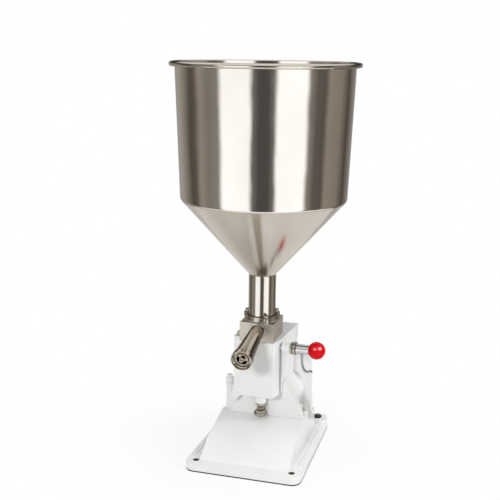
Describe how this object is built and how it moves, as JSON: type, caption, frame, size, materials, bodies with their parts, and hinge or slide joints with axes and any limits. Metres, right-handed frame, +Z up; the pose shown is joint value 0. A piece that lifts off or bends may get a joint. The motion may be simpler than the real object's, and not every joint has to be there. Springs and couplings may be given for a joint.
{
  "type": "manual paste filling machine",
  "caption": "Bench filler: steel hopper over a valve block with a sloping nozzle, worked by a side handle with a ball knob, on a white column and ramped base.",
  "frame": {"origin": "on the floor under the hopper's axis", "axes": "+Z up, front and nozzle towards -Y, handle towards +X"},
  "size_m": [0.2748, 0.2748, 0.5922],
  "materials": {
    "white_paint": "glossy enamel",
    "polished_steel": "polished stainless",
    "brushed_steel": "brushed stainless",
    "chrome": "bright chrome",
    "screw_steel": "plain steel",
    "dark_steel": "blackened steel",
    "zinc": "zinc plated",
    "red_plastic": "glossy",
    "black_rubber": "matt",
    "seal_rubber": "matt",
    "brass": "turned",
    "spring_steel": "drawn wire"
  },
  "bodies": {
    "frame": {"base_casting": "white_paint", "base_gasket": "black_rubber", "base_screw_front_left": "screw_steel", "base_screw_front_right": "screw_steel", "base_screw_rear_left": "dark_steel", "base_screw_rear_right": "dark_steel", "column_casting": "white_paint", "column_stud_washer": "white_paint", "column_stud_bolt": "white_paint", "column_foot_bolt": "screw_steel", "column_peg": "dark_steel", "head_bolt_lower_left": "screw_steel", "head_bolt_lower_right": "screw_steel", "head_bolt_upper_left": "screw_steel", "head_bolt_upper_right": "screw_steel", "valve_block": "brushed_steel", "block_gasket": "seal_rubber", "block_screw_front_left": "screw_steel", "block_screw_front_right": "screw_steel", "block_screw_rear_right": "screw_steel", "block_screw_rear_left": "screw_steel", "head_casting": "white_paint", "head_cap_bolt": "screw_steel", "plunger_gland": "brass", "packing_ring_1": "seal_rubber", "packing_ring_2": "seal_rubber", "flange_gasket": "seal_rubber", "neck_flange": "brushed_steel", "flange_screw_1": "screw_steel", "flange_screw_2": "screw_steel", "flange_screw_3": "screw_steel", "neck_pipe": "polished_steel", "hopper_cone": "polished_steel", "hopper_wall": "polished_steel", "rim_bead": "polished_steel", "inlet_cage": "brushed_steel", "inlet_seat": "brushed_steel", "inlet_spring": "spring_steel", "nozzle_root_ring": "polished_steel", "nozzle_tube": "polished_steel", "outlet_seat": "brushed_steel", "nozzle_seal": "seal_rubber", "nozzle_insert": "brushed_steel", "nozzle_bell": "polished_steel"},
    "plunger_carriage": {"plunger": "polished_steel", "crosshead": "brass", "crosshead_screw": "screw_steel", "stem_sleeve": "white_paint", "stem_collar": "chrome", "handle_rod": "chrome", "ball_knob": "red_plastic", "knob_insert": "brass", "hook": "zinc"},
    "adjusting_stop": {"adjusting_screw": "chrome"},
    "adjusting_grip": {"adjusting_knob": "chrome"},
    "lock_nut": {"adjusting_lock_nut": "screw_steel"},
    "inlet_ball": {"inlet_ball": "polished_steel"},
    "outlet_poppet": {"outlet_poppet": "polished_steel"}
  },
  "joints": [
    {"name": "handle_slide", "type": "slide", "parent": "frame", "child": "plunger_carriage", "axis": [0, 0, 1], "range_m": [-0.048, 0]},
    {"name": "adjusting_slide", "type": "slide", "parent": "frame", "child": "adjusting_stop", "axis": [0, 0, 1], "range_m": [-0.0025, 0.0065]},
    {"name": "adjusting_turn", "type": "hinge", "parent": "adjusting_stop", "child": "adjusting_grip", "pos_m": [0, 0, 0.06], "axis": [0, 0, 1], "range_deg": [-601, 1561]},
    {"name": "lock_nut_turn", "type": "hinge", "parent": "frame", "child": "lock_nut", "pos_m": [0, 0, 0.076], "axis": [0, 0, 1], "range_deg": [-120, 0]},
    {"name": "inlet_ball_lift", "type": "slide", "parent": "frame", "child": "inlet_ball", "axis": [0, 0, 1], "range_m": [-0.005, 0], "stiffness_N_per_m": 200, "springref_m": 0.004, "deforming": ["inlet_spring"]},
    {"name": "outlet_poppet_lift", "type": "slide", "parent": "frame", "child": "outlet_poppet", "axis": [0, -0.9728, -0.2317], "range_m": [0, 0.004]}
  ],
  "couplings": [
    {"joint": "adjusting_turn", "follows": "adjusting_slide", "rad_per_m": 4188.8}
  ]
}
